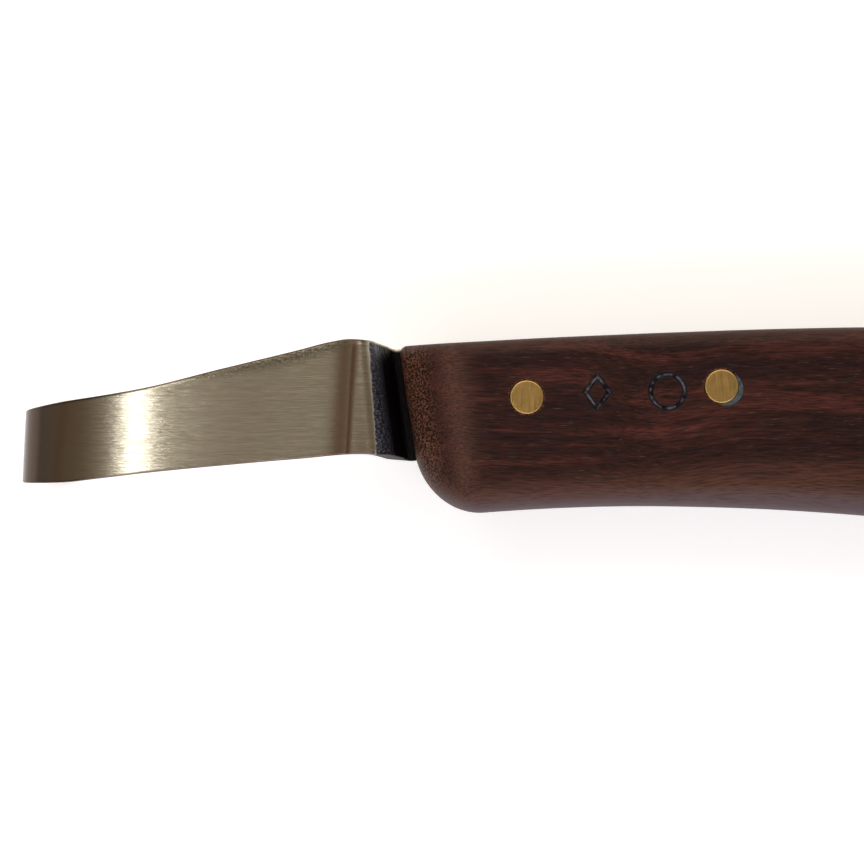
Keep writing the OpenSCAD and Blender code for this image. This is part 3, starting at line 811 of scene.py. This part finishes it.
def handle_rings(p):
    """Rings round the handle from nose to butt: rounded rectangles that follow its height and thickness.

    The values beside them say where the wood is end grain, where the stamped strokes are, and where the
    painted shade, painted highlight and painted sheen go.
    """
    nose_x = HANDLE_BOX[1].x - p.handle_l
    total = p.handle_l
    nose = NOSE_ZONE * (1 - np.cos(np.linspace(0, np.pi / 2, 46)))
    butt = total - BUTT_ZONE * (1 - np.sin(np.linspace(0, np.pi / 2, 44)))
    s = np.concatenate([nose[:-1], np.linspace(NOSE_ZONE, MARK_ZONE[0], 22)[:-1],
                        np.linspace(*MARK_ZONE, 150)[:-1],
                        np.linspace(MARK_ZONE[1], total - BUTT_ZONE, 110)[:-1], butt])
    x = nose_x + s
    drop = NOSE_DROP * np.clip(1 - s / NOSE_L, 0, 1) ** NOSE_POWER
    h = HANDLE_T / 2 - drop - end_round(s, NOSE_RIM_R) - end_round(total - s, BUTT_SIDE_R)
    top = back_line(p, x) - end_round(s, BACK_CORNER_R) - end_round(total - s, BUTT_BACK_R)
    low = belly_line(p, x) + end_round(s, p.nose_corner_r) + end_round(total - s, BUTT_BELLY_R)
    back_r = np.minimum(p.back_edge_r, h - 1.5 * MM)
    belly_r = np.minimum(p.belly_edge_r, h - 1.2 * MM)
    shear = NOSE_SHEAR * np.clip(1 - s / NOSE_SHEAR_L, 0, 1)
    # corners turn through a quarter circle; straight stretches lie between them
    turn = np.linspace(0, np.pi / 2, 13)
    col = lambda a: a[:, None]

    def corner(y, z, r, start):
        return col(y) + col(r) * np.cos(start + turn), col(z) + col(r) * np.sin(start + turn)

    def line(a, b, where):
        t = where[None, :]
        return col(a[0]) * (1 - t) + col(b[0]) * t, col(a[1]) * (1 - t) + col(b[1]) * t

    back_high = corner(top - back_r, h - back_r, back_r, 0)
    belly_high = corner(low + belly_r, h - belly_r, belly_r, np.pi / 2)
    belly_low = corner(low + belly_r, -h + belly_r, belly_r, np.pi)
    back_low = corner(top - back_r, -h + back_r, back_r, 3 * np.pi / 2)
    a, b = (top - back_r, h), (low + belly_r, h)
    clip = lambda v: np.clip(v, low + belly_r + 0.3 * MM, top - back_r - 0.3 * MM)
    mark_start, mark_end = (clip(MARK_TOP + 0 * s), h), (clip(MARK_LOW + 0 * s), h)
    inner = lambda n: np.linspace(0, 1, n + 2)[1:-1]
    strips = [back_high, line(a, mark_start, inner(4)), line(mark_start, mark_end, np.linspace(0, 1, 70)),
              line(mark_end, b, inner(10)), belly_high,
              line((low, h - belly_r), (low, -h + belly_r), inner(8)), belly_low,
              line((low + belly_r, -h), (top - back_r, -h), inner(22)), back_low,
              line((top, -h + back_r), (top, h - back_r), inner(8))]
    y = np.concatenate([q[0] for q in strips], 1)
    z = np.concatenate([q[1] for q in strips], 1)
    # stamped marks press the upper side down, and raise a faint rim of crushed wood
    on_top = z > h[:, None] - 0.01 * MM
    slanted_x = col(x) + col(shear) * y
    d = mark_distance(slanted_x, y, p.mark_stroke)
    depth = p.mark_depth * (1 - smooth_step(d, -0.32 * MM, 0.06 * MM))
    rim = 0.03 * MM * np.exp(-((d - 0.16 * MM) / (0.12 * MM)) ** 2)
    # painted shade in the groove of a stroke, and a painted highlight along its middle line
    stamp_groove = on_top * (1 - smooth_step(d, -0.12 * MM, 0.06 * MM))
    groove_sheen = on_top * np.exp(-((d + p.mark_stroke / 2) / (0.15 * MM)) ** 2)
    z = z + on_top * (rim - depth)
    slow = lattice_noise(slanted_x * 90, y * 60 + z * 60, 21) * 0.03 * MM
    y = y + slow * smooth_step(np.abs(y), 6 * MM, 9 * MM)
    nose_end = smooth_step(-s, -5.2 * MM, -1.5 * MM)
    butt_end = smooth_step(s, total - 5.5 * MM, total - 1.0 * MM)
    end = col(np.maximum(nose_end, butt_end)) + 0 * y
    # painted sheen: the belly's rounded edges are coloured pale, more widely towards the butt, and the back
    # and the shoulder of the nose less so
    swell = smooth_step(x, -10 * MM, 35 * MM)
    belly_w = (6 + 4 * swell) * MM
    outward = 0.12 + 0.88 * smooth_step(np.abs(z), col(h - belly_r - 0.5 * MM), col(h - 0.45 * belly_r))
    edge_sheen = (1 - smooth_step(y - col(low), 0.3 * MM, col(belly_w))) * outward
    edge_sheen = np.maximum(edge_sheen, 0.4 * (1 - smooth_step(col(top) - y, 0.3 * MM, 2.6 * MM)))
    edge_sheen = np.maximum(edge_sheen, 0.6 * np.exp(-((col(s) - 6.6 * MM) / (2.2 * MM)) ** 2)) * (1 - end)
    edge_reflection_w = (2.4 + 2.0 * swell) * MM
    edge_reflection = (1 - smooth_step(y - col(low), 0.1 * MM, col(edge_reflection_w))) * outward * (1 - end)
    rings = np.stack([slanted_x, y, MID_Z + z], -1)
    return rings, {"end_grain": end, "stamp_groove": stamp_groove, "groove_sheen": groove_sheen, "edge_sheen": edge_sheen, "edge_reflection": edge_reflection}


def close_ends(rings, values, steps=8):
    """Adds flat rings that shrink from both end rings to near their middle, with the values repeated."""
    shrink = np.linspace(0, 1, steps + 2)[1:-1]

    def cap(ring):
        return ring[None] * (1 - shrink[:, None, None]) + ring.mean(0) * shrink[:, None, None]

    repeat = lambda v: np.concatenate([np.repeat(v[:1], steps, 0), v, np.repeat(v[-1:], steps, 0)])
    closed = np.concatenate([cap(rings[0])[::-1], rings, cap(rings[-1])])
    return closed, {key: repeat(v) for key, v in values.items()}


def pin_place(name):
    """Middle x and y, and the radius, of a pin in the frame."""
    low, high = PIN_BOXES[name]
    return (low.x + high.x) / 2, (low.y + high.y) / 2, (high.x - low.x) / 2


class HOOKKNIFE_OT_handle(bpy.types.Operator):
    """Builds the hardwood handle with its groove, bores and stamped marks"""

    bl_idname = "hook_knife.handle"
    bl_label = "Handle"

    def execute(self, context):
        scene = context.scene
        p, blade = scene.hook_knife_handle, scene.hook_knife_blade
        rings, values = close_ends(*handle_rings(p))
        mesh = tube_mesh("hardwood_handle", rings, **values)
        cutters = [groove_mesh(p, blade)]
        for pin in PIN_BOXES:
            x, y, r = pin_place(pin)
            bore = r + PIN_CLEAR
            cutters.append(lathe_mesh("bore", x, y, [
                (bore + BORE_FLARE, -1 * MM), (bore + BORE_FLARE, 0), (bore, BORE_FLARE),
                (bore, HANDLE_T - BORE_FLARE), (bore + BORE_FLARE, HANDLE_T),
                (bore + BORE_FLARE, HANDLE_T + 1 * MM)]))
        x, y, r = stray_place()
        cutters.append(lathe_mesh("stray_hole", x, y, [
            (r, MID_Z + blade.tang_t / 2), (r, HANDLE_T + 1 * MM)]))
        mesh = cut(mesh, cutters)
        add_piece("hardwood_handle", mesh, wood_material(p), ["handle"])
        return {"FINISHED"}


# ---------------------------------------------------------------- pins and filler


PIN_CLEAR = 0.02 * MM
BORE_FLARE = 0.10 * MM
GLUE = 0.03 * MM
STRAY_OFF = (0.69 * MM, -0.40 * MM)
FILLER_GRAIN, FILLER_RELIEF = 0.5 * MM, 0.03 * MM


def lathe_rings(x, y, profile, sides=128):
    """Rings of a profile of (radius, height) turned round an upright axis through x and y."""
    r, z = np.array(profile, float).T
    angle = np.linspace(0, 2 * np.pi, sides, endpoint=False)
    return np.stack([x + r[:, None] * np.cos(angle), y + r[:, None] * np.sin(angle),
                     z[:, None] + 0 * angle], -1)


def lathe_mesh(name, x, y, profile):
    """Closed mesh of a profile of (radius, height) turned round an upright axis through x and y."""
    return tube_mesh(name, lathe_rings(x, y, profile))


def stray_place():
    """Middle x and y, and the radius, of the stray drilling beside the rear pin."""
    x, y, r = pin_place("pin_rear")
    return x + STRAY_OFF[0], y + STRAY_OFF[1], r


def groove_mesh(p, blade):
    """Cutter for the groove: a flat wedge a little thicker than the tang, open at the nose and the back."""
    low_at = lambda x: tang_low(blade, x) - GLUE
    left, right = HANDLE_BOX[0].x - 12 * MM, BLADE_BOX[1].x + GLUE
    outline = np.array([(left, low_at(left)), (right, low_at(right)), (right, 25 * MM), (left, 25 * MM)])
    half = blade.tang_t / 2 + GLUE
    rings = np.stack([np.concatenate([outline, np.full((4, 1), z)], 1) for z in (MID_Z - half, MID_Z + half)])
    return tube_mesh("groove", rings)


def pin_profile(r, rim, z_low, z_high):
    """Profile of a pin: flat ends with rims rounded through a quarter circle of radius rim."""
    turn = np.linspace(0, np.pi / 2, 7)
    flat = np.linspace(0.02, 1, 8) * (r - rim)
    low = [(q, z_low) for q in flat[:-1]] + [
        (r - rim + rim * math.sin(a), z_low + rim - rim * math.cos(a)) for a in turn]
    high = [(q, z_low + z_high - z) for q, z in low[::-1]]
    return low + high


class HOOKKNIFE_OT_pins(bpy.types.Operator):
    """Builds the two brass pins"""

    bl_idname = "hook_knife.pins"
    bl_label = "Pins"

    def execute(self, context):
        p = context.scene.hook_knife_fittings
        material = brass_material(p)
        for node in PIN_BOXES:
            x, y, r = pin_place(node)
            low, high = PIN_BOXES[node]
            mesh = lathe_mesh(f"brass_{node}", x, y, pin_profile(r, p.rim_r, low.z, high.z))
            add_piece(f"brass_{node}", mesh, material, [node])
        return {"FINISHED"}


class HOOKKNIFE_OT_filler(bpy.types.Operator):
    """Builds the filler beside the rear pin and along the open groove"""

    bl_idname = "hook_knife.filler"
    bl_label = "Filler"

    def execute(self, context):
        scene = context.scene
        p, blade, handle = scene.hook_knife_fittings, scene.hook_knife_blade, scene.hook_knife_handle
        material = filler_material(p)
        # crescent: a plug with an uneven top, less the pin's bore
        x, y, r = stray_place()
        r -= GLUE
        low, high = REAR_FILLER_BOX
        profile = [(r, low.z)] + [(r * share, high.z) for share in np.linspace(1, 0.02, 24)]
        rings = lathe_rings(x, y, profile, 160)
        uneven = lattice_noise(rings[:, :, 0] / FILLER_GRAIN, rings[:, :, 1] / FILLER_GRAIN, 31)
        rings[1:, :, 2] += (uneven[1:] - 1) * FILLER_RELIEF
        mesh = tube_mesh("filler_crescent", rings)
        pin_x, pin_y, pin_r = pin_place("pin_rear")
        bore_r = pin_r + PIN_CLEAR
        bore = lathe_mesh("bore", pin_x, pin_y, [(bore_r, 0), (bore_r, HANDLE_T + 1 * MM)])
        add_piece("filler_crescent", cut(mesh, [bore]), material, ["rear_filler"])
        # groove: a strip over the tang whose outer side is rubbed slightly hollow
        s = np.linspace(SLOT_FILLER_BOX[0].x, SLOT_FILLER_BOX[1].x, 240)
        half = blade.tang_t / 2
        across = np.concatenate([np.linspace(-1, 1, 24), np.linspace(1, -1, 12)[1:-1]])
        outer = np.arange(len(across)) < 24
        top = back_line(handle, s)[:, None] - GLUE - 0.05 * MM * (1 - across ** 2)
        top = top + lattice_noise(s[:, None] / (0.9 * MM), across * 2, 32) * 0.02 * MM
        low_y = back_line(handle, s)[:, None] - BACK_COVER + GLUE + 0 * across
        rings = np.stack([s[:, None] + 0 * across, np.where(outer, top, low_y),
                          MID_Z + half * across + 0 * s[:, None]], -1)
        add_piece("filler_strip", tube_mesh("filler_strip", rings), material, ["slot_filler"])
        return {"FINISHED"}


# ---------------------------------------------------------------- stage


FLOOR_HALF = 20.0
CAMERA_X, CAMERA_Y = -26.54 * MM, -1.52 * MM
LAMP_TARGET = (-0.02, 0, 0.01)
# name, place, size, watts and tint of each lamp; the first makes the highlight across the strip
LAMPS = (("hook_panel", (-0.416, 0.0, 0.848), (0.9, 0.105), 1.35, "#ffffff"),
         ("belly_panel", (0.05, -0.95, 0.85), (2.0, 0.9), 13, "#f4f2ff"),
         ("back_panel", (0.05, 0.95, 0.95), (2.0, 0.9), 13, "#fff8f0"))
ZENITH = (0.245, 0.212, 0.16, 1)
HORIZON = "#dcdcda"


def soft_box(name, place, size, watts, tint):
    """Rectangular area light at place that faces the knife; the first side of its size lies level."""
    data = bpy.data.lights.new(name, "AREA")
    data.shape = "RECTANGLE"
    data.size, data.size_y = size
    data.energy = watts
    data.color = linear(tint)
    light = bpy.data.objects.new(name, data)
    light.location = place
    light.rotation_euler = (Vector(LAMP_TARGET) - Vector(place)).to_track_quat("-Z", "Y").to_euler()
    bpy.context.scene.collection.objects.link(light)


def room_world():
    """World of a plain room: dim overhead, and pale round the horizon."""
    world = bpy.data.worlds.new("plain_room")
    world.use_nodes = True
    tree = world.node_tree
    tree.nodes.clear()
    place = add_node(tree, "TexCoord").outputs["Generated"]
    parts = add_node(tree, "SeparateXYZ", {0: place})
    height = ramp(tree, parts.outputs[2], 0.12, 0.40)
    tone = layered(tree, (*linear(HORIZON), 1), ((height, ZENITH),))
    background = add_node(tree, "Background", {"Color": tone})
    add_node(tree, "OutputWorld", {"Surface": background})
    return world


class HOOKKNIFE_OT_stage(bpy.types.Operator):
    """Sets up the floor, the soft light and the camera"""

    bl_idname = "hook_knife.stage"
    bl_label = "Stage"

    def execute(self, context):
        scene = context.scene
        p = scene.hook_knife_stage
        mesh = bpy.data.meshes.new("floor")
        corners = [(x * FLOOR_HALF, y * FLOOR_HALF, 0) for x, y in ((-1, -1), (1, -1), (1, 1), (-1, 1))]
        mesh.from_pydata(corners, [], [(0, 1, 2, 3)])
        floor = bpy.data.objects.new("floor", mesh)
        scene.collection.objects.link(floor)
        mesh.materials.append(floor_material(p))
        scene.world = room_world()
        for lamp in LAMPS:
            soft_box(*lamp)
        data = bpy.data.cameras.new("camera")
        data.sensor_width = 36.0
        data.lens = data.sensor_width * (p.camera_height - HANDLE_T) / p.view_w
        data.clip_start = 0.01
        camera = bpy.data.objects.new("camera", data)
        camera.location = (CAMERA_X, CAMERA_Y, p.camera_height)
        scene.collection.objects.link(camera)
        scene.camera = camera
        scene.view_settings.view_transform = "Standard"
        return {"FINISHED"}


# ---------------------------------------------------------------- panel and run


class HOOKKNIFE_PT_panel(bpy.types.Panel):
    """Lists the steps that build the hook knife"""

    bl_idname = "HOOKKNIFE_PT_panel"
    bl_label = "Hook Knife"
    bl_space_type = "VIEW_3D"
    bl_region_type = "UI"
    bl_category = "Hook Knife"

    def draw(self, context):
        for operator in OPERATORS:
            self.layout.operator(operator.bl_idname)
        for name, group in GROUPS.items():
            box = self.layout.box()
            for prop in group.__annotations__:
                box.prop(getattr(context.scene, name), prop)


OPERATORS = (HOOKKNIFE_OT_blade, HOOKKNIFE_OT_handle, HOOKKNIFE_OT_pins, HOOKKNIFE_OT_filler,
             HOOKKNIFE_OT_stage)
CLASSES = (*GROUPS.values(), *OPERATORS, HOOKKNIFE_PT_panel)


def register():
    for each in CLASSES:
        bpy.utils.register_class(each)
    for name, group in GROUPS.items():
        setattr(bpy.types.Scene, name, bpy.props.PointerProperty(type=group))


def unregister():
    for name in GROUPS:
        delattr(bpy.types.Scene, name)
    for each in reversed(CLASSES):
        bpy.utils.unregister_class(each)


def main():
    """Registers the add-on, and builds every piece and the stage."""
    register()
    bpy.ops.hook_knife.blade()
    bpy.ops.hook_knife.handle()
    bpy.ops.hook_knife.pins()
    bpy.ops.hook_knife.filler()
    bpy.ops.hook_knife.stage()


if __name__ == "__main__":
    main()
